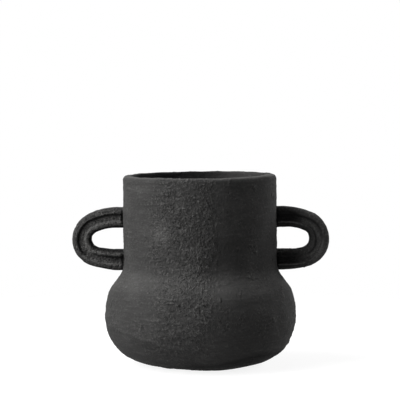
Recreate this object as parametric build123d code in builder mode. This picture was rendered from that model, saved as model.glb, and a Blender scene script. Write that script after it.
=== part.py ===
"""A low, wide vase with two loop handles, in black stoneware.

It is put together the way a potter builds it: a pressed base, a belly, a sloping
shoulder and a collar, each raised as its own ring of clay, and two pulled straps
cut to the collar's round wall. Slip joins them face to face before the firing.

Millimetres and degrees. The origin is the middle of the plane that the foot rests
on, +Z is up, and the two handles stand out along X.
"""

from build123d import *

import os
from math import asin, atan2, cos, degrees, radians, sin, tan

os.makedirs("parts", exist_ok=True)

# Base: a slab pressed into a shallow dish, with its foot turned afterwards
foot_radius = 53.2
dish_slope = 14.6
foot_ring_width = 14.0
foot_recess_depth = 2.5
foot_recess_taper = 45.0

# Belly: the round side of the bowl, from the base's seam up to the shoulder's
belly_radius = 111.8
widest_height = 56.6
upper_curve_radius = 110.0
upper_curve_rise = 32.9
body_wall = 10.0

# Shoulder: the sloping band that draws the bowl in and bends up into the neck
shoulder_rise = 23.0
throat_radius = 28.0

# Neck: the straight collar and its thick, softly rounded lip
neck_radius = 89.9
neck_wall = 12.5
neck_height = 102.0
lip_outer_radius = 3.5
lip_inner_radius = 2.0

# Strap of the handles: two rounded ridges with a channel between, front and back
strap_width = 23.2
strap_depth = 23.0
ridge_width = 6.2
ridge_radius = 4.3
channel_depth = 3.2
channel_lip_radius = 1.5

# Loop of the handles: an upper arm that falls away, a tight bend and a lower arm
handle_reach = 60.1
handle_foot_gap = 0.4
bend_radius = 21.7
upper_arm_fall = 4.6
upper_straight = 6.0
lower_arm_rise = 2.1
lower_straight = 10.5


def write_part(piece, name):
    """Labels a finished piece and writes it under the same name."""
    piece.part.label = name
    export_step(piece.part, f"parts/{name}.step")


def under_curve_radius():
    """Radius of the arc that takes the dish's slope round to the widest point.

    The arc ends upright at the belly's radius, so its centre is level with that
    point, and it lies one arc radius above the straight slope from the foot's edge.
    """
    slope = radians(dish_slope)
    run = belly_radius - foot_radius
    return (widest_height * cos(slope) - run * sin(slope)) / (1 - sin(slope))


# Outer outline of the bowl, as radius and height, from the foot up
side_radius = under_curve_radius()
side_centre = Vector(belly_radius - side_radius, widest_height)
base_seam = side_centre + Vector(0, -side_radius).rotate(Axis.Z, dish_slope)
upper_curve_angle = degrees(asin(upper_curve_rise / upper_curve_radius))

with BuildLine() as base_outline:
    foot_edge = Line((0, 0), (foot_radius, 0))
    dish = Line(foot_edge @ 1, base_seam)

with BuildLine() as belly_outline:
    under_curve = JernArc(dish @ 1, dish % 1, side_radius, 90 - dish_slope)
    upper_curve = JernArc(
        under_curve @ 1, (0, 1), upper_curve_radius, upper_curve_angle
    )

# Base: one wall thickness all through, with the middle of its underside turned
# away so that it stands on a ring
with BuildPart() as base:
    with BuildSketch(Plane.XZ):
        with BuildLine():
            add(base_outline.line)
            offset(amount=body_wall, side=Side.LEFT)
        make_face()
    revolve(axis=Axis.Z)
    with BuildSketch():
        Circle(foot_radius - foot_ring_width)
    extrude(amount=foot_recess_depth, taper=foot_recess_taper, mode=Mode.SUBTRACT)

write_part(base, "base")

# Belly: a ring of the same wall, its two ends bevelled square to the wall
with BuildPart() as belly:
    with BuildSketch(Plane.XZ):
        with BuildLine():
            add(belly_outline.line)
            offset(amount=body_wall, side=Side.LEFT)
        make_face()
    revolve(axis=Axis.Z)

write_part(belly, "belly")

# Shoulder: a slope from the belly's bevel up to the line of the neck's wall, with the
# hollow corner between them rounded as the throat, and level where the neck stands
shoulder_seam = upper_curve @ 1
bevel_direction = (upper_curve % 1).rotate(Axis.Z, 90)
throat_height = widest_height + upper_curve_rise + shoulder_rise
shoulder_slope = degrees(atan2(shoulder_rise, shoulder_seam.X - neck_radius))
throat_turn = 90 - shoulder_slope
neck_foot_height = throat_height + throat_radius * tan(radians(throat_turn / 2))

with BuildPart() as shoulder:
    with BuildSketch(Plane.XZ):
        with BuildLine():
            bevel = PolarLine(shoulder_seam, body_wall, direction=bevel_direction)
            neck_seat = Polyline(
                bevel @ 1,
                (neck_radius - neck_wall, neck_foot_height),
                (neck_radius, neck_foot_height),
            )
            throat = JernArc(neck_seat @ 1, (0, -1), throat_radius, throat_turn)
            Line(throat @ 1, bevel @ 0)
        make_face()
    revolve(axis=Axis.Z)

write_part(shoulder, "shoulder")

# Neck: a straight ring of thicker clay whose lip is rounded over both edges, which
# leaves a narrow flat between them whatever the wall
with BuildPart() as neck:
    with BuildSketch(Plane.XY.offset(neck_foot_height)):
        Circle(neck_radius)
        Circle(neck_radius - neck_wall, mode=Mode.SUBTRACT)
    extrude(amount=neck_height)
    lip_edges = edges().group_by(Axis.Z)[-1].sort_by(SortBy.RADIUS)
    fillet(lip_edges[-1], min(lip_outer_radius, neck_wall * 0.5))
    lip_edges = edges().group_by(Axis.Z)[-1].sort_by(SortBy.RADIUS)
    fillet(lip_edges[0], min(lip_inner_radius, neck_wall * 0.4))

write_part(neck, "neck")

# Handles: the strap's centre line leaves the neck level above, falls in a long arc
# to a tight bend, and comes back in another long arc that ends level in the throat
lower_height = throat_height + handle_foot_gap + strap_width / 2
bend_height = lower_height + lower_arm_rise + bend_radius
upper_height = bend_height + bend_radius + upper_arm_fall
bend_reach = neck_radius + handle_reach - strap_width / 2
bend_centre = Vector(bend_reach - bend_radius, 0, bend_height)


def arm_touch(arm_end):
    """Where the long arc from an arm's level end touches the bend's circle.

    The long arc's centre is straight above or below the level end. The two circles
    share a tangent where their centres lie as far apart as their radii differ.
    """
    across = bend_centre.X - arm_end.X
    height = abs(arm_end.Z - bend_centre.Z)
    gap = height - bend_radius
    arc_radius = (across**2 + height**2 - bend_radius**2) / (2 * gap)
    towards_bend = -1 if arm_end.Z > bend_centre.Z else 1
    arc_centre = arm_end + Vector(0, 0, towards_bend * arc_radius)
    return bend_centre + (bend_centre - arc_centre).normalized() * bend_radius


strap_root = neck_radius - neck_wall / 2
upper_root = Vector(strap_root, 0, upper_height)
lower_root = Vector(strap_root, 0, lower_height)
upper_end = Vector(neck_radius + upper_straight, 0, upper_height)
lower_end = Vector(neck_radius + lower_straight, 0, lower_height)

with BuildLine() as strap_line:
    Line(upper_root, upper_end)
    upper_arm = TangentArc(upper_end, arm_touch(upper_end), tangent=(1, 0, 0))
    bend = TangentArc(upper_arm @ 1, arm_touch(lower_end), tangent=upper_arm % 1)
    TangentArc(bend @ 1, lower_end, tangent=bend % 1)
    Line(lower_end, lower_root)

# The channel is a shallow arc of a circle as wide as the ridges leave between them,
# and the ridges' rounded edges never use up the whole of a ridge
channel_half_width = strap_width / 2 - ridge_width
channel_radius = (channel_half_width**2 + channel_depth**2) / (2 * channel_depth)
channel_centre = strap_depth / 2 - channel_depth + channel_radius

with BuildPart() as handle_right:
    with BuildSketch(Plane(upper_root, x_dir=(0, 0, 1), z_dir=(1, 0, 0))):
        Rectangle(strap_width, strap_depth)
        strap_corners = vertices()
        with Locations((0, channel_centre), (0, -channel_centre)):
            Circle(channel_radius, mode=Mode.SUBTRACT)
        channel_lips = vertices() - strap_corners
        fillet(channel_lips, min(channel_lip_radius, ridge_width * 0.25))
        fillet(strap_corners, min(ridge_radius, ridge_width * 0.7))
    sweep(path=strap_line.line)
    with BuildSketch():
        Circle(neck_radius)
    extrude(amount=upper_height + strap_width, mode=Mode.SUBTRACT)
    add(shoulder.part, mode=Mode.SUBTRACT)

write_part(handle_right, "handle_right")

with BuildPart() as handle_left:
    mirror(handle_right.part, about=Plane.YZ)

write_part(handle_left, "handle_left")
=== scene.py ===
from math import atan2, cos, pi, radians, sin, tan

import bpy
import numpy as np
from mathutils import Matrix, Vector


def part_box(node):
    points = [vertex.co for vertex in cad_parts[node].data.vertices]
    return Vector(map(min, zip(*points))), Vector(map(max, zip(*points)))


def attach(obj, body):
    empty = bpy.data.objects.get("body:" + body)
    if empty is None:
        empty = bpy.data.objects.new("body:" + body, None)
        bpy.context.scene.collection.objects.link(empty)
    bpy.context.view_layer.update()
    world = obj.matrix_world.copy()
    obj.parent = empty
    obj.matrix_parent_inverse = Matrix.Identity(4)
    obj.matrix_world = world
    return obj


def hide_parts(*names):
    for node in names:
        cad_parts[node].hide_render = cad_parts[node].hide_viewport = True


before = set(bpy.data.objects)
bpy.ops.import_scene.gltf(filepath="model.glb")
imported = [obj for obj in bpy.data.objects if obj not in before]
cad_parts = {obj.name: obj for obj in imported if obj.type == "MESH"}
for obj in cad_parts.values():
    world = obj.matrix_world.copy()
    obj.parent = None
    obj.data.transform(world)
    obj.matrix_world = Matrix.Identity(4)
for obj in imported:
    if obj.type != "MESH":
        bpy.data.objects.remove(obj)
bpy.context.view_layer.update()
mm = 0.001

# The base
# A slab of sandy black clay pressed into a shallow dish. Its foot is turned on the
# wheel afterwards, which leaves a flat ring round a shallow recess. The rest of the
# pot's outline is lined up on it.

base_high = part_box("base")[1]
belly_low, belly_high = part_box("belly")
shoulder_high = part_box("shoulder")[1]
neck_low, neck_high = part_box("neck")

body_wall = 10 * mm
dish_slope = radians(14.6)
dish_seam = (base_high.x, belly_low.z)
foot_radius = dish_seam[0] - dish_seam[1] / tan(dish_slope)
foot_edge_round = 1.6 * mm
foot_ring_width = 14 * mm
foot_recess_radius = foot_radius - foot_ring_width
foot_recess_depth = 2.5 * mm
floor_radius = foot_radius - body_wall * tan(dish_slope / 2)

side_radius = (belly_high.x - dish_seam[0]) / (1 - sin(dish_slope))
side_centre = (belly_high.x - side_radius, dish_seam[1] + side_radius * cos(dish_slope))
upper_radius = 110 * mm
upper_centre = (belly_high.x - upper_radius, side_centre[1])
upper_lean = np.arccos((shoulder_high.x - upper_centre[0]) / upper_radius)
shoulder_seam_height = upper_centre[1] + upper_radius * sin(upper_lean)

neck_wall = 12.5 * mm
neck_radius = neck_high.x
mouth_radius = neck_radius - neck_wall
lip_outer_round = 4.8 * mm
lip_inner_round = 2 * mm
shoulder_rise = 23 * mm
throat_height = shoulder_seam_height + shoulder_rise
throat_round = 28 * mm
inner_throat_round = 12 * mm


def on_circle(centre, radius, direction):
    """Where a circle is reached in a direction, or in several, in radians from level."""
    return np.stack([centre[0] + radius * np.cos(direction), centre[1] + radius * np.sin(direction)], -1)


bend_step = 0.25 * mm


def bend(centre, radius, start, end):
    """A round stretch of an outline: at least six points on a circle, evenly spaced from
    one direction to another and about a bend_step apart."""
    steps = max(6, int(abs(end - start) * radius / bend_step))
    return on_circle(centre, radius, np.linspace(start, end, steps))


def throat(wall_radius, wall, corner_height, radius):
    """The hollow bend where the shoulder's slope turns up into the neck: an arc that
    touches the slope from the upper curve's end to the corner, and the upright wall."""
    seam = on_circle(upper_centre, upper_radius - wall, upper_lean)
    slope = atan2(corner_height - seam[1], wall_radius - seam[0])
    centre = (wall_radius + radius, corner_height + radius * tan(slope / 2 - pi / 4))
    return bend(centre, radius, slope + pi / 2, pi)


def worn_corner(before, corner, after):
    """A corner worn round: 30 points of a parabola that leaves one point towards the
    corner and comes to the other from it."""
    share = np.linspace(0, 1, 30)[:, None]
    return (1 - share) ** 2 * before + 2 * share * (1 - share) * corner + share**2 * after


upper_curve = bend(upper_centre, upper_radius, 0, upper_lean)
outer_throat = throat(neck_radius, 0, throat_height, throat_round)
corner_reach = 3.8 * mm
slope_line = outer_throat[0] - upper_curve[-1]
slope_start = upper_curve[-1] + corner_reach * slope_line / np.linalg.norm(slope_line)
upper_curve_kept = upper_curve[np.linalg.norm(upper_curve - upper_curve[-1], axis=1) > corner_reach]

# The whole pot's outline in one run of radius and height: out under the foot, up the
# outside, over the lip and down the inside to the middle of the floor
outline = np.vstack([
    [(0, foot_recess_depth), (foot_recess_radius - foot_recess_depth, foot_recess_depth)],
    [(foot_recess_radius, 0)],
    bend((foot_radius - foot_edge_round, foot_edge_round), foot_edge_round, -pi / 2, dish_slope - pi / 2),
    bend(side_centre, side_radius, dish_slope - pi / 2, 0),
    upper_curve_kept,
    worn_corner(upper_curve_kept[-1], upper_curve[-1], slope_start),
    outer_throat,
    bend((neck_radius - lip_outer_round, neck_high.z - lip_outer_round), lip_outer_round, 0, pi / 2),
    bend((mouth_radius + lip_inner_round, neck_high.z - lip_inner_round), lip_inner_round, pi / 2, pi),
    throat(mouth_radius, body_wall, neck_low.z, inner_throat_round)[::-1],
    bend(upper_centre, upper_radius - body_wall, upper_lean, 0),
    bend(side_centre, side_radius - body_wall, 0, dish_slope - pi / 2),
    [(floor_radius, body_wall), (0, body_wall)],
])
same_point = 0.001 * mm
outline_steps = np.linalg.norm(np.diff(outline, axis=0), axis=1)
outline = outline[np.r_[True, outline_steps > same_point]]
outline_run = np.r_[0, np.cumsum(np.linalg.norm(np.diff(outline, axis=0), axis=1))]


def outline_at(run):
    """Radius and height of the outline at each distance along it."""
    return np.stack([np.interp(run, outline_run, side) for side in outline.T], -1)


run_step = 0.1 * mm


def run_to(radius, height):
    """Distance along the outline to its point nearest a radius and height, to the
    nearest run_step."""
    run = np.arange(0, outline_run[-1], run_step)
    return run[np.argmin(np.linalg.norm(outline_at(run) - (radius, height), axis=1))]


# Large numbers with no pattern in common, which scatter the corners of the noise's
# lattice into slopes that have nothing to do with one another
place_keys = np.array([73856093, 19349663, 83492791])
seed_key = 2654435761
slope_keys = (374761393, 668265263, 974634777)
mixing_key = 1274126177


def clay_noise(points, size, seed):
    """Smooth unevenness in space, about -0.7 to 0.7: each corner of a lattice of the
    given size has a slope in a direction of its own, and the slopes of a cell's eight
    corners are blended across it by a fifth-degree ease."""
    cell = points / size + 7.3 * seed
    corner = np.floor(cell).astype(np.int64)
    part = cell - corner
    ease = part**3 * (part * (part * 6 - 15) + 10)
    total = np.zeros(part.shape[:-1])
    for shift in np.ndindex(2, 2, 2):
        key = (corner + shift) @ place_keys + seed * seed_key
        slopes = []
        for slope_key in slope_keys:
            mixed = (key * slope_key) & 0xFFFFFFFF
            mixed = ((mixed ^ (mixed >> 13)) * mixing_key) & 0xFFFFFFFF
            slopes.append((mixed ^ (mixed >> 16)) / 2**31 - 1)
        reach = (np.stack(slopes, -1) * (part - shift)).sum(-1)
        total += reach * np.prod(np.where(np.array(shift) == 1, ease, 1 - ease), axis=-1)
    return total


def over(value, edge, width):
    """0 below an edge, 1 once past it by a width, with an ease between."""
    share = np.clip((value - edge) / width, 0, 1)
    return share * share * (3 - 2 * share)


def near(points, place, size):
    """1 at a place and less away from it, as a bell with a size along each axis."""
    return np.exp(-0.5 * (((points - place) / size) ** 2).sum(-1))


def ridge(value, place, width):
    """1 where a value is at a place and less to both sides of it, as a bell."""
    return np.exp(-(((value - place) / width) ** 2))


def sandiness(points):
    """How far the slip has worn off the sand, from 0 to about 1: patchy all round, with
    small clusters, most on the front, left of its middle, and least low on the right and
    near the foot."""
    patches = over(clay_noise(points, 34 * mm, 11), -0.15, 0.6)
    clusters = over(clay_noise(points, 12 * mm, 19), 0.26, 0.12)
    x = points[..., 0] + 18 * mm * clay_noise(points, 40 * mm, 17)
    front = (over(x, -66 * mm, 22 * mm) - over(x, 0, 26 * mm)) * over(-points[..., 1], 20 * mm, 30 * mm)
    smooth = over(x, 10 * mm, 40 * mm) * (1 - over(points[..., 2], 25 * mm, 40 * mm))
    smooth = np.maximum(smooth, 1 - over(points[..., 2], 20 * mm, 26 * mm))
    return (0.22 * patches + 0.42 * clusters + 0.57 * front) * (1 - 0.7 * smooth)


def grog(points):
    """How far the coarse sand in the clay lifts or pits its skin, in metres: grains and
    the short scratches they were dragged in, across and down, stand out where the slip
    is worn, and slip was brushed round over them."""
    bare = 0.25 + 1.6 * sandiness(points)
    drawn_across = points * (0.4, 0.4, 1)
    drawn_down = points * (1, 1, 0.35)
    drawn_round = points * (0.2, 0.2, 1)
    grains = 0.30 * mm * clay_noise(points, 2.3 * mm, 13)
    grains += 0.42 * mm * clay_noise(drawn_across, 2.5 * mm, 12)
    grains += 0.34 * mm * clay_noise(drawn_down, 2.6 * mm, 18)
    grains += 0.45 * mm * over(clay_noise(points, 2.9 * mm, 14), 0.22, 0.25)
    brushed = 0.28 * mm * clay_noise(drawn_round, 2.6 * mm, 16)
    brushed *= 1.9 - 1.2 * over(points[..., 0], -60 * mm, 90 * mm)
    pits = 0.25 * mm * over(clay_noise(points, 3.2 * mm, 15), 0.36, 0.15)
    return bare * (grains - pits) + brushed


def thrown(points):
    """How far the potter's hands leave the turned wall off its true round, in metres:
    slow swells, thumb dents, rings that run round it and fade in and out, the groove
    that a rib left at the neck's foot, and fuller and leaner turns of the bowl: fuller
    above its widest, and below it by turns leaner, fuller and leaner down to the foot."""
    radius, height = np.hypot(points[..., 0], points[..., 1]), points[..., 2]
    swell = 0.7 * mm * clay_noise(points, 85 * mm, 21)
    dents = 0.7 * mm * clay_noise(points, 24 * mm, 22)
    level = points * (0.16, 0.16, 1)
    rings = 0.6 * mm * clay_noise(level, 9.0 * mm, 23) + 0.3 * mm * clay_noise(level, 3.4 * mm, 24)
    outside = over(radius, mouth_radius + 3 * mm, 4 * mm)
    groove = -0.5 * mm * ridge(height, neck_low.z + 5 * mm, 4 * mm)
    fuller = 0.5 * mm * ridge(height, 71 * mm, 9 * mm)
    right = over(points[..., 0], 0, 70 * mm)
    fuller += (0.1 + 0.8 * right) * mm * ridge(height, 22 * mm, 7 * mm)
    fuller -= 0.5 * mm * right * ridge(height, 39 * mm, 6 * mm)
    low = ridge(height, 7 * mm, 4 * mm) * over(radius, foot_radius + 3 * mm, 8 * mm)
    return swell + dents + rings + outside * (groove + fuller) - (0.45 - 0.35 * right) * mm * low


lean_angle = radians(0.4)


def settled(points):
    """The pot's slight lean: what stands above the foot is turned a little about the
    middle of the belly, towards the left handle, and the foot stays flat. The neck's top
    was cut a little low on the left and high on the right."""
    share = lean_angle * over(points[..., 2], 15 * mm, 95 * mm)
    x, z = points[..., 0], points[..., 2] - side_centre[1]
    uneven = 0.6 * mm * ridge(x, 76 * mm, 17 * mm) - 0.5 * mm * ridge(x, -68 * mm, 15 * mm)
    leaned = points.copy()
    leaned[..., 0] = x - share * z
    leaned[..., 2] = points[..., 2] + share * x + uneven * over(points[..., 2], 180 * mm, 40 * mm)
    return leaned


def facing_of(grid):
    """Each point's outward direction, square to its row and its column of the grid."""
    direction = np.cross(np.roll(grid, -1, 1) - np.roll(grid, 1, 1), np.gradient(grid, axis=0))
    return direction / np.linalg.norm(direction, axis=-1, keepdims=True)


def wrapped_faces(rows, columns, closed):
    """Four-sided faces between neighbouring rows of a grid whose columns run round. A
    closed grid's last row meets its first. An open one ends in fans to two poles, which
    are the two points after the grid's own."""
    row = np.arange(rows if closed else rows - 1)[:, None] * columns
    column = np.arange(columns)
    beside = (column + 1) % columns
    ahead = (row + columns) % (rows * columns)
    corners = np.broadcast_arrays(row + column, row + beside, ahead + beside, ahead + column)
    faces = np.stack(corners, -1).reshape(-1, 4).tolist()
    if not closed:
        last = (rows - 1) * columns
        pole = np.full(columns, rows * columns)
        faces += np.stack([beside, column, pole], -1).tolist()
        faces += np.stack([last + column, last + beside, pole + 1], -1).tolist()
    return faces


def put_mesh(name, grid, outward, closed, skin):
    """A clay piece from a grid of points, their outward directions and what its skin is
    like at each: numbers or places, kept as attributes under their names."""
    rows, columns = grid.shape[:2]

    def listed(values):
        values = values.reshape(rows * columns, -1)
        if closed:
            return values
        return np.vstack([values, values[:columns].mean(0), values[-columns:].mean(0)])

    mesh = bpy.data.meshes.new(name)
    mesh.from_pydata(listed(grid), [], wrapped_faces(rows, columns, closed))
    mesh.shade_smooth()
    facing = listed(outward)
    facing = facing / np.linalg.norm(facing, axis=1, keepdims=True)
    mesh.normals_split_custom_set_from_vertices(facing)
    for label, values in skin.items():
        kind, field = ("FLOAT_VECTOR", "vector") if values.ndim == 3 else ("FLOAT", "value")
        layer = mesh.attributes.new(label, kind, "POINT")
        layer.data.foreach_set(field, listed(values).astype(np.float32).ravel())
    mesh.validate()
    piece = bpy.data.objects.new(name, mesh)
    bpy.context.scene.collection.objects.link(piece)
    return piece


def spaced(start, end, spacing):
    """Distances from one place on the outline to another, evenly spaced."""
    return np.linspace(start, end, round((end - start) / spacing) + 1)


turns_around = 640
edge_reach = 0.2 * mm


def swung_round(run):
    """The outline's points at distances along it, swung round the upright axis, and the
    outward direction at each, which is square to the outline there."""
    swing = np.linspace(0, 2 * pi, turns_around, endpoint=False)
    ring = np.stack([np.cos(swing), np.sin(swing)], -1)
    ahead = outline_at(run + edge_reach) - outline_at(run - edge_reach)
    ahead /= np.linalg.norm(ahead, axis=1, keepdims=True)
    radius, height = outline_at(run).T
    smooth = np.empty((len(run), turns_around, 3))
    smooth[..., :2] = radius[:, None, None] * ring
    smooth[..., 2] = height[:, None]
    outward = np.empty_like(smooth)
    outward[..., :2] = ahead[:, 1, None, None] * ring
    outward[..., 2] = -ahead[:, 0, None]
    return smooth, outward


def wall_strip(run, marks, rubbed_and_painted_light):
    """A strip of the pot's wall and what its skin is like: the outline swung round, and
    moved out by the clay's unevenness and the piece's own marks. It is worked out one
    row past both its ends, so that the surface runs on over a seam."""
    smooth, outward = swung_round(np.r_[2 * run[0] - run[1], run, 2 * run[-1] - run[-2]])
    lift = grog(smooth)
    mark = marks(smooth) if marks else 0 * lift
    grid = settled(smooth + (lift + thrown(smooth) + mark)[..., None] * outward)
    grid[..., 2] = np.maximum(grid[..., 2], 0)
    strip = {
        "grid": grid,
        "outward": facing_of(grid),
        # Where a mark sinks the wall, raised goes down with it, and the clay there is darkened as painted
        # shade.
        "raised": lift + np.minimum(mark, 0),
        "sandy": sandiness(smooth),
        "rubbed_and_painted_light": rubbed_and_painted_light(smooth) if rubbed_and_painted_light else 0 * lift,
        "drag": smooth * (0.1, 0.1, 1),
    }
    return {label: values[1:-1] for label, values in strip.items()}


def turned_piece(name, strips, closed, marks=None, rubbed_and_painted_light=None):
    """A piece of the pot's round wall, from strips that are joined row to row. Each is
    given as distances along the outline. A closed piece's last row joins its first, and
    an open one ends in a pole at the axis. marks says how far the piece's own marks
    stand out; where they sink in, the clay is darkened as painted shade. The last
    argument is above 0 where hands or tools left the clay paler and where light is
    painted, and below 0 where shade is painted."""
    worked = [wall_strip(run, marks, rubbed_and_painted_light) for run in strips]
    skin = {label: np.concatenate([strip[label] for strip in worked]) for label in worked[0]}
    return put_mesh(name, skin.pop("grid"), skin.pop("outward"), closed, skin)


class SurfaceValue:
    """One value at every point of a surface: a socket of its material's node tree, whose
    maths is written as plain sums. node() adds any other node and gives one of its
    values."""

    def __init__(self, socket):
        self.socket = socket

    def node(self, kind, settings=None, sockets=None, output=0):
        tree = self.socket.id_data
        made = tree.nodes.new(kind)
        for name, value in (settings or {}).items():
            setattr(made, name, value)
        for name, value in (sockets or {}).items():
            if isinstance(value, SurfaceValue):
                tree.links.new(value.socket, made.inputs[name])
            else:
                made.inputs[name].default_value = value
        return SurfaceValue(made.outputs[output])

    def maths(self, operation, first, second):
        return self.node("ShaderNodeMath", {"operation": operation}, {0: first, 1: second})

    def __add__(self, other):
        return self.maths("ADD", self, other)

    def __sub__(self, other):
        return self.maths("SUBTRACT", self, other)

    def __rsub__(self, other):
        return self.maths("SUBTRACT", other, self)

    def __mul__(self, other):
        return self.maths("MULTIPLY", self, other)

    __radd__ = __add__
    __rmul__ = __mul__

    def past(self, edge, width):
        """0 below an edge and 1 once past it by a width."""
        limits = {"Value": self, "From Min": edge, "From Max": edge + width}
        return self.node("ShaderNodeMapRange", {"interpolation_type": "SMOOTHSTEP"}, limits)

    def between(self, low, high):
        """A colour that goes from one to another as this value goes from 0 to 1."""
        colours = {"Factor": self, "A": low, "B": high}
        return self.node("ShaderNodeMix", {"data_type": "RGBA"}, colours, "Result")


clay_black = (0.034, 0.0335, 0.033, 1)
# The paler colour serves both worn clay and painted light, and the darkest one serves both the sand's
# dark specks and painted shade.
clay_worn_and_painted_light = (0.085, 0.084, 0.082, 1)
clay_dark_grain_and_shade = (0.010, 0.010, 0.010, 1)


def stoneware(name):
    """Unglazed black stoneware with a dry, sandy skin: near-black clay, greyer where
    grains stand proud and where the rubbing attribute is above 0, which is partly where
    hands rubbed it and partly painted light. It is blacker in its pits, which is partly
    the sand's own dark specks and partly painted shade in its deeper hollows, and where
    that attribute is below 0, which is painted shade. The attribute drag is the place,
    shortened along the way the clay was dragged, which draws its speckles out."""
    material = bpy.data.materials.new(name)
    material.use_nodes = True
    shader = material.node_tree.nodes["Principled BSDF"]
    clay = SurfaceValue(shader.outputs[0])
    place = clay.node("ShaderNodeTexCoord", output="Object")

    def skin(label, output="Fac"):
        return clay.node("ShaderNodeAttribute", {"attribute_name": label}, output=output)

    def speckle(vector, size, detail):
        sockets = {"Vector": vector, "Scale": 1 / size, "Detail": detail}
        return clay.node("ShaderNodeTexNoise", sockets=sockets)

    drag = skin("drag", "Vector")
    raised = skin("raised") * (1 / mm)
    rubbed_and_painted_light = skin("rubbed_and_painted_light")
    bare = 0.2 + skin("sandy")
    sand = speckle(place, 1.9 * mm, 1.0)
    coarse = speckle(place, 3.2 * mm, 3.0)
    cloud = speckle(place, 30 * mm, 3.0)
    drawn = speckle(drag, 2.2 * mm, 3.0)
    proud = sand.past(0.54, 0.12) * coarse.past(0.42, 0.2)
    # Paler where hands rubbed the clay and where light is painted on it.
    pale_and_painted_light = proud * bare * 1.2 + raised.past(0.02, 0.35) * 0.3 + drawn.past(0.5, 0.25) * 0.15
    pale_and_painted_light = pale_and_painted_light + cloud.past(0.45, 0.3) * 0.2 + rubbed_and_painted_light
    dark_grain_and_painted_shade = ((1 - coarse.past(0.32, 0.14)) * 0.5 + (1 - sand.past(0.34, 0.12)) * 0.6) * bare
    # Clay sunk more than about 0.2 mm is darkened as painted shade, and so is clay where the rubbing
    # attribute is below 0.
    dark_grain_and_painted_shade = dark_grain_and_painted_shade + (1 - raised.past(-1.3, 1.1)) * 0.9 + (0 - rubbed_and_painted_light).past(0, 1)
    base = dark_grain_and_painted_shade.between(pale_and_painted_light.between(clay_black, clay_worn_and_painted_light), clay_dark_grain_and_shade)
    relief = (sand * 0.8 + coarse * 1.3 + proud * 0.5) * bare + drawn * 0.3
    bump = clay.node("ShaderNodeBump", sockets={"Strength": 1.0, "Distance": 1.5 * mm, "Height": relief})
    rough = 0.92 - pale_and_painted_light * 0.12
    for socket, value in (("Base Color", base), ("Roughness", rough), ("Normal", bump)):
        material.node_tree.links.new(value.socket, shader.inputs[socket])
    shader.inputs["IOR"].default_value = 1.45
    shader.inputs["Specular IOR Level"].default_value = 0.14
    return material


clay_skin = stoneware("black_stoneware")


def finish_clay(piece, node):
    """Gives a clay piece its skin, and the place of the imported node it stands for."""
    piece.data.materials.append(clay_skin)
    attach(piece, "root")
    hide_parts(node)


def foot_marks(points):
    """Where the foot has been knocked and ground: three small chips at its front edge,
    and its front left edge worn up a little."""
    chips = near(points, (-58 * mm, -45 * mm, 5 * mm), 1.6 * mm)
    chips += near(points, (-33 * mm, -42 * mm, 0), 1.5 * mm)
    chips += near(points, (44 * mm, -30 * mm, 0), 1.8 * mm)
    worn = near(points, (-27 * mm, -47 * mm, 0), (16 * mm, 7 * mm, 4 * mm))
    return -1.1 * mm * chips - 0.8 * mm * worn


def painted_shade_underside(points):
    """Painted shade low down on the pot's right side, fading out towards the left: darkest at the bottom,
    and reaching a little higher on the far right.
    """
    x, height = points[..., 0], points[..., 2]
    low = 1 - over(height - 11 * mm * over(x, 10 * mm, 60 * mm), 5 * mm, 12 * mm)
    return -1.3 * low * over(x, -50 * mm, 80 * mm)


outer_dish_run = run_to(*dish_seam)
inner_dish_run = run_to(*on_circle(side_centre, side_radius - body_wall, dish_slope - pi / 2))
outside_spacing = 1.1 * mm
floor_spacing = 2 * mm
inside_spacing = 2.4 * mm
pole_gap = 2.6 * mm

# The base is darkened low on its right by painted shade.
base = turned_piece(
    "base_clay",
    [spaced(pole_gap, outer_dish_run, outside_spacing),
     spaced(inner_dish_run, outline_run[-1] - pole_gap, floor_spacing)],
    closed=False, marks=foot_marks, rubbed_and_painted_light=painted_shade_underside,
)
finish_clay(base, "base")

# The belly
# The round side of the bowl, thrown as a thick ring and luted on to the base. Its
# lower part is trimmed with a loop tool, which leaves short slanting ridges.


def trimming_ridges(points):
    """Ridges that a loop tool left low on the bowl: a cosine of the height that slants a
    little, wavers, and comes and goes. One pass of the tool bit deeper on the front's
    left and slants down to the middle. A thumb left a bump on the left side."""
    ridges_apart = 7.5 * mm
    slant = points[..., 2] + 0.10 * points[..., 0]
    wave = np.cos(2 * pi * (slant + 2.5 * mm * clay_noise(points, 30 * mm, 41)) / ridges_apart)
    low = over(points[..., 2], 14 * mm, 8 * mm) - over(points[..., 2], 42 * mm, 10 * mm)
    patch = over(clay_noise(points, 38 * mm, 42), -0.1, 0.35)
    bump = near(points, (-112 * mm, 0, 58 * mm), (9 * mm, 25 * mm, 3.2 * mm))
    x = points[..., 0]
    above = points[..., 2] - 48 * mm + 0.23 * (x + 94 * mm) + 3 * mm * clay_noise(points, 22 * mm, 43)
    length = (1 - over(x, -30 * mm, 26 * mm)) * over(-points[..., 1], 22 * mm, 20 * mm)
    cut = 1.0 * ridge(above, 0, 1.8 * mm) - 0.4 * ridge(above, -8 * mm, 7 * mm)
    return 0.35 * mm * wave * low * patch + 0.9 * mm * bump + mm * length * cut


outer_upper_run = run_to(*on_circle(upper_centre, upper_radius, upper_lean))
inner_upper_run = run_to(*on_circle(upper_centre, upper_radius - body_wall, upper_lean))

# The belly is darkened low on its right by painted shade.
belly = turned_piece(
    "belly_clay",
    [spaced(outer_dish_run, outer_upper_run, outside_spacing),
     spaced(inner_upper_run, inner_dish_run, inside_spacing)],
    closed=True, marks=trimming_ridges, rubbed_and_painted_light=painted_shade_underside,
)
finish_clay(belly, "belly")

# The shoulder
# A sloping coil pressed between the bowl and the neck and smoothed with a rib. Its
# upward-facing slope is painted a little paler than the rest, as painted light.


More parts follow.
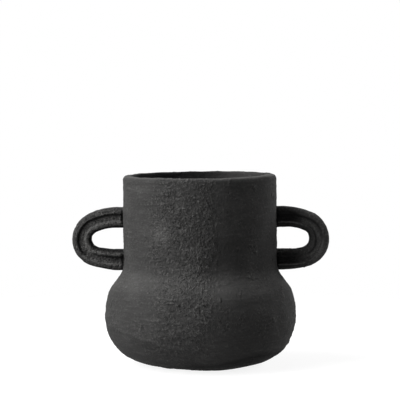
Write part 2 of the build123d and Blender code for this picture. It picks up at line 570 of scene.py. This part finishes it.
def shoulder_painted_light(points):
    """Painted light on the shoulder's upward-facing slope: most along its middle."""
    height = points[..., 2]
    band = over(height, shoulder_seam_height, 10 * mm) - over(height, throat_height - 2 * mm, 9 * mm)
    return 0.2 * band


neck_foot_run = run_to(neck_radius, neck_low.z)
inner_neck_foot_run = run_to(mouth_radius, neck_low.z)

shoulder = turned_piece(
    "shoulder_clay",
    [spaced(outer_upper_run, neck_foot_run, outside_spacing),
     spaced(inner_neck_foot_run, inner_upper_run, inside_spacing)],
    closed=True, rubbed_and_painted_light=shoulder_painted_light,
)
finish_clay(shoulder, "shoulder")

# The neck
# A straight collar of thicker clay, with its lip cut level and softened with a wet
# finger. Hands have rubbed it paler in a few places, and light and shade are painted
# on its lip's front, low on its right and inside it on the left.


def neck_marks_and_painted_light(points):
    """Pale, rubbed places on the neck's front: a smudge low on the left and a streak above
    it. The crest of the lip's front is paler, partly worn and partly a painted highlight.
    Low on the right is a patch of painted shade, and inside, on the left, painted shade
    makes the wall blackest."""
    x, y, height = points[..., 0], points[..., 1], points[..., 2]
    smudge = near(points, (-44 * mm, -79 * mm, 159 * mm), (7 * mm, 9 * mm, 8 * mm))
    painted_shade_patch = near(points, (34 * mm, -83 * mm, 141 * mm), (16 * mm, 20 * mm, 13 * mm))
    streak = near(points, (-68 * mm, -58 * mm, 210 * mm), (9 * mm, 12 * mm, 3 * mm))
    crest_wear_and_highlight = over(height, neck_high.z - 1.6 * mm, 1.2 * mm) * over(-y, -20 * mm, 40 * mm)
    inside = 1 - over(np.hypot(x, y), mouth_radius + 2 * mm, 3 * mm)
    painted_shade_inside = inside * (1 - over(x, -5 * mm, 65 * mm))
    return 0.6 * smudge + 0.3 * streak + 0.6 * crest_wear_and_highlight - 0.25 * painted_shade_patch - 0.9 * painted_shade_inside


inside_lip_depth = 14 * mm
inside_lip_run = run_to(mouth_radius, neck_high.z - inside_lip_depth)
neck_rows = np.r_[
    spaced(neck_foot_run, inside_lip_run, outside_spacing),
    spaced(inside_lip_run, inner_neck_foot_run, inside_spacing)[1:],
]
neck = turned_piece("neck_clay", [neck_rows], closed=True, rubbed_and_painted_light=neck_marks_and_painted_light)
finish_clay(neck, "neck")

# The handles
# Pulled straps, bent into loops and luted to the neck. A round ridge runs along each
# edge with a flat channel between them, and the ends are pinched in at the neck.

handle_low, handle_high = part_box("handle_right")
strap_width = 23.2 * mm
strap_depth = handle_high.y - handle_low.y
squareness = 3.1
channel_depth = 3.0 * mm
channel_flat = 2.8 * mm
channel_side = 2.6 * mm
bend_radius = 21.7 * mm
lower_straight = 10.5 * mm
lower_arm_rise = 2.1 * mm
upper_straight = 6 * mm
lower_height = handle_low.z + strap_width / 2
upper_height = handle_high.z - strap_width / 2
bend_reach = handle_high.x - strap_width / 2
bend_centre = np.array([bend_reach - bend_radius, lower_height + lower_arm_rise + bend_radius])


def arm(end):
    """The long arc from an arm's level end to the bend: its circle touches the level
    line there and the bend's circle, so their centres are apart by the difference of
    their radii."""
    across = bend_centre[0] - end[0]
    rise = end[1] - bend_centre[1]
    radius = (across**2 + rise**2 - bend_radius**2) / (2 * (abs(rise) - bend_radius))
    centre = np.array([end[0], end[1] - np.sign(rise) * radius])
    towards = bend_centre - centre
    return bend(centre, radius, np.sign(rise) * pi / 2, atan2(towards[1], towards[0]))


upper_arm = arm((neck_radius + upper_straight, upper_height))
lower_arm = arm((neck_radius + lower_straight, lower_height))
upper_turn = atan2(*(upper_arm[-1] - bend_centre)[::-1])
lower_turn = atan2(*(lower_arm[-1] - bend_centre)[::-1])
strap_line = np.vstack([
    [(neck_radius, upper_height)],
    upper_arm,
    bend(bend_centre, bend_radius, upper_turn, lower_turn)[1:-1],
    lower_arm[::-1],
    [(neck_radius, lower_height)],
])


def hand_bent(reach, upper_root, upper_bend, lower_root, lower_bend):
    """The strap's line as the potter's hands left it on one handle: its bend carried out
    a little, and each arm raised or lowered by so much at its root and at the bend."""
    out = over(strap_line[:, 0], neck_radius, bend_centre[0] - neck_radius)
    upper = over(strap_line[:, 1], bend_centre[1] - bend_radius / 2, bend_radius)
    upper_rise = upper_root + (upper_bend - upper_root) * out
    lower_rise = lower_root + (lower_bend - lower_root) * out
    return strap_line + np.stack([reach * out, upper_rise * upper + lower_rise * (1 - upper)], -1)


def even_points(line, spacing):
    """Points evenly spaced along a line of points, and their distances along it."""
    run = np.r_[0, np.cumsum(np.linalg.norm(np.diff(line, axis=0), axis=1))]
    steps = np.linspace(0, run[-1], round(run[-1] / spacing) + 1)
    return np.stack([np.interp(steps, run, side) for side in line.T], -1), steps


def strap_section(spacing):
    """The strap's section, across and deep: a rounded oblong, which is a superellipse of
    that squareness, with a flat channel sunk into its front and its back between the
    two ridges."""
    turn = np.linspace(0, 2 * pi, 4000)
    across = strap_width / 2 * np.sign(np.cos(turn)) * np.abs(np.cos(turn)) ** (2 / squareness)
    deep = strap_depth / 2 * np.sign(np.sin(turn)) * np.abs(np.sin(turn)) ** (2 / squareness)
    channel = 1 - over(np.abs(across), channel_flat, channel_side)
    deep = deep - np.sign(deep) * channel_depth * channel
    return even_points(np.stack([across, deep], -1), spacing)[0][:-1]


strap_spacing = 0.9 * mm
section_spacing = 0.6 * mm
flare = 1.05
flare_length = 36 * mm
sunk_depth = 1.2 * mm
sunk_length = 6 * mm


def strap_piece(name, side, line, bend_share, sandy, painted_light_and_shade):
    """A loop handle: the strap's section carried along its line, square to it. It flares
    at its roots and narrows to a share of its width at the bend. Its two ends are sunk
    a little into the neck's round wall, and pinched in beside it over the middle of
    their width.
    sandy is how far its slip has worn off the sand, and the last argument says where
    light and shade are painted on its clay, paler or blacker."""
    line, run = even_points(line, strap_spacing)
    section = strap_section(section_spacing)
    ahead = np.gradient(line, axis=0)
    ahead /= np.linalg.norm(ahead, axis=1, keepdims=True)
    out = np.stack([-ahead[:, 1], ahead[:, 0]], -1)
    from_end = np.minimum(run, run[-1] - run)
    width = flare + (bend_share - flare) * over(from_end, 0, flare_length)
    across = section[:, 0] * width[:, None]
    smooth = np.empty((len(line), len(section), 3))
    smooth[..., 0] = line[:, None, 0] + across * out[:, None, 0]
    smooth[..., 1] = -side * section[:, 1]
    smooth[..., 2] = line[:, None, 1] + across * out[:, None, 1]
    inset = neck_radius - np.sqrt(neck_radius**2 - section[:, 1] ** 2) + sunk_depth
    smooth[..., 0] -= np.clip(1 - from_end / sunk_length, 0, 1)[:, None] * inset
    from_wall = np.hypot(smooth[..., 0], smooth[..., 1]) - neck_radius
    smooth[..., 0] *= side
    drawn_along = run[:, None] * 0.12
    strap_place = np.stack(np.broadcast_arrays(drawn_along, section[:, 0], section[:, 1]), -1)
    pulled = 0.7 * mm * clay_noise(strap_place, 2.6 * mm, 31) + 0.8 * mm * clay_noise(smooth, 28 * mm, 32)
    pinch = 1.8 * mm * ridge(from_wall, 1.0 * mm, 1.1 * mm)
    pinch = pinch * over(7.5 * mm - np.abs(across), -2 * mm, 3 * mm)
    lift = grog(smooth)
    grid = settled(smooth + (lift + pulled - pinch)[..., None] * facing_of(smooth))
    # Through raised, the pinch beside the neck is darkened as painted shade.
    skin = {
        "raised": lift + 0.5 * pulled - pinch,
        "sandy": sandy + 0 * lift,
        "rubbed_and_painted_light": painted_light_and_shade(smooth, across),
        "drag": strap_place,
    }
    return put_mesh(name, grid, facing_of(grid), False, skin)


def right_painted_light(points, across):
    """The right handle's painted light and shade: a thin painted highlight along the upper
    arm's inner ridge and another along the lower arm's outer one, a painted highlight low
    on the bend's outer ridge, painted light on the channel at the bend, and the neck's
    painted shadow in the channel near the neck. The upper arm also has painted shade
    along its inner edge and beside its outer ridge, and the lower arm's inner edge is
    painted paler near the neck."""
    x = points[..., 0]
    upper = over(points[..., 2], 142 * mm, 12 * mm)
    near_neck = 1 - over(x, 112 * mm, 14 * mm)
    line = ridge(across, -5.8 * mm, 0.9 * mm) * upper + ridge(across, 5.6 * mm, 0.9 * mm) * (1 - upper)
    edge = ridge(across, -11 * mm, 2.4 * mm) * (upper - 0.6 * (1 - upper) * near_neck)
    patch = near(points, (134 * mm, -11 * mm, 138 * mm), (7 * mm, 9 * mm, 10 * mm))
    patch = patch * over(across, 3 * mm, 3 * mm)
    painted_neck_shadow = (1 - over(x, 108 * mm, 16 * mm)) * (1 - over(np.abs(across), 6 * mm, 4 * mm))
    groove = ridge(across, 3.4 * mm, 1.3 * mm) * upper
    painted_light_channel = ridge(across, -1 * mm, 3 * mm) * over(x, 116 * mm, 8 * mm)
    pale_and_painted_light = 1.6 * line * near_neck + 1.3 * patch + 0.5 * painted_light_channel
    return pale_and_painted_light - (0.7 * painted_neck_shadow + 0.6 * groove) * (1 - line * near_neck) - 0.7 * edge


def left_painted_light(points, across):
    """The left handle's painted light and shade: painted light on its inner ridge and the
    channel's floor, a painted shadow along the channel's outer side and painted shade on
    its inner edge. On the lower arm the painted shadow follows the channel's inner side,
    the painted light is on the outer ridge, which has painted shade on its edge, and the
    inner ridge's middle is a little paler, also painted light."""
    inner = 1.3 * ridge(across, -5.0 * mm, 2.8 * mm) - 0.8 * ridge(across, -11 * mm, 2.4 * mm)
    above = inner + 0.3 * ridge(across, 0, 2.2 * mm) - 0.8 * ridge(across, 3.8 * mm, 1.4 * mm)
    outer = 0.8 * ridge(across, 4.5 * mm, 3.0 * mm) - 0.8 * ridge(across, 11.4 * mm, 1.8 * mm)
    below = outer + 0.5 * ridge(across, -8 * mm, 2.4 * mm) - 1.0 * ridge(across, -3.4 * mm, 1.4 * mm)
    lower = 1 - over(points[..., 2], 128 * mm, 8 * mm)
    return above + (below - above) * lower


# Each handle's light and shade along its ridges, channel and edges is painted on its clay.
right_line = hand_bent(
    reach=1.1 * mm, upper_root=-0.4 * mm, upper_bend=0.2 * mm, lower_root=-0.4 * mm, lower_bend=-0.4 * mm)
handle_right = strap_piece("handle_right_clay", 1, right_line, 1.0, 0.3, right_painted_light)
finish_clay(handle_right, "handle_right")

left_line = hand_bent(
    reach=0.2 * mm, upper_root=-0.3 * mm, upper_bend=0.1 * mm, lower_root=0.1 * mm, lower_bend=1.0 * mm)
handle_left = strap_piece("handle_left_clay", -1, left_line, 0.98, 0.9, left_painted_light)
finish_clay(handle_left, "handle_left")

# The room
# A white paper sweep under the pot, lit softly by large windows high, low and towards
# the front on the left, the ceiling, the room in front, and a pale screen behind it on
# the right. The camera stands 2.3 m away, a little above the pot's lip.

scene = bpy.context.scene
scene.view_settings.view_transform = "Standard"

world = bpy.data.worlds.new("white_room")
scene.world = world
world.use_nodes = True
background = world.node_tree.nodes["Background"]
background.inputs["Color"].default_value = (1, 1, 1, 1)
sky = SurfaceValue(background.outputs[0])


def looked_at(start):
    """1 where the camera looks, also by way of a shiny or a clear surface."""
    kinds = ("Is Camera Ray", "Is Glossy Ray", "Is Transmission Ray")
    return sum(start.node("ShaderNodeLightPath", output=kind) for kind in kinds).past(0, 0.5)


room_level = 0.01
room_light = sky.maths("MAXIMUM", looked_at(sky), room_level)
world.node_tree.links.new(room_light.socket, background.inputs["Strength"])

lit_middle = Vector((0, 0, 0.12))
softbox_distance = 1.6
softbox_size = 0.9


def softbox(name, azimuth, elevation, power):
    """A square soft lamp that faces the pot, of so many watts. Azimuth 0 is the camera's
    side and 90 the right handle's, in degrees."""
    around, up = radians(azimuth), radians(elevation)
    away = Vector((sin(around) * cos(up), -cos(around) * cos(up), sin(up)))
    lamp = bpy.data.lights.new(name, "AREA")
    lamp.shape = "SQUARE"
    lamp.size = softbox_size
    lamp.energy = power
    box = bpy.data.objects.new(name, lamp)
    box.location = lit_middle + softbox_distance * away
    box.rotation_euler = away.to_track_quat("Z", "Y").to_euler()
    scene.collection.objects.link(box)


softbox("window_high", -70, 55, 21.5)
softbox("window_low", -70, 20, 12.2)
softbox("window_front", -50, 20, 16.5)
softbox("room_front", -20, 10, 1.4)
softbox("screen_right", 115, 20, 14.6)
softbox("ceiling", 0, 85, 2.6)

floor_reach = 3.0
floor_mesh = bpy.data.meshes.new("floor")
floor_mesh.from_pydata(
    [(-floor_reach, -floor_reach, 0), (floor_reach, -floor_reach, 0),
     (floor_reach, floor_reach, 0), (-floor_reach, floor_reach, 0)], [], [(0, 1, 2, 3)])
floor = bpy.data.objects.new("floor", floor_mesh)
scene.collection.objects.link(floor)

paper_grey = (0.35, 0.35, 0.35, 1)
paper_seen_grey = (0.28, 0.28, 0.28, 1)
paper_glow = 0.87
paper_reach = 0.35
paper_fade = 0.45


def white_paper():
    """Matte white paper. It shows to the camera as white where no shadow falls, and
    gives way to the white room a step away from the pot, so that no horizon shows."""
    material = bpy.data.materials.new("white_paper")
    material.use_nodes = True
    tree = material.node_tree
    output = tree.nodes["Material Output"]
    paper = tree.nodes["Principled BSDF"]
    paper.inputs["Roughness"].default_value = 1.0
    paper.inputs["Specular IOR Level"].default_value = 0.0
    paper.inputs["Emission Color"].default_value = (1, 1, 1, 1)
    sheet = SurfaceValue(paper.outputs[0])
    seen = looked_at(sheet)
    tree.links.new(seen.between(paper_grey, paper_seen_grey).socket, paper.inputs["Base Color"])
    tree.links.new((seen * paper_glow).socket, paper.inputs["Emission Strength"])
    place = sheet.node("ShaderNodeTexCoord", output="Object")
    away = sheet.node("ShaderNodeVectorMath", {"operation": "LENGTH"}, {0: place}, "Value")
    clear = sheet.node("ShaderNodeBsdfTransparent")
    gone = away.past(paper_reach, paper_fade)
    blend = sheet.node("ShaderNodeMixShader", sockets={0: gone, 1: sheet, 2: clear})
    tree.links.new(blend.socket, output.inputs["Surface"])
    return material


floor_mesh.materials.append(white_paper())

camera_side = -0.7 * mm
eye = Vector((camera_side, -2.3, 0.341))
aim = Vector((camera_side, 0, 0.1941))
camera_data = bpy.data.cameras.new("camera")
camera_data.lens = 177
camera_data.sensor_width = 36
camera = bpy.data.objects.new("camera", camera_data)
camera.location = eye
camera.rotation_euler = (aim - eye).to_track_quat("-Z", "Y").to_euler()
scene.collection.objects.link(camera)
scene.camera = camera
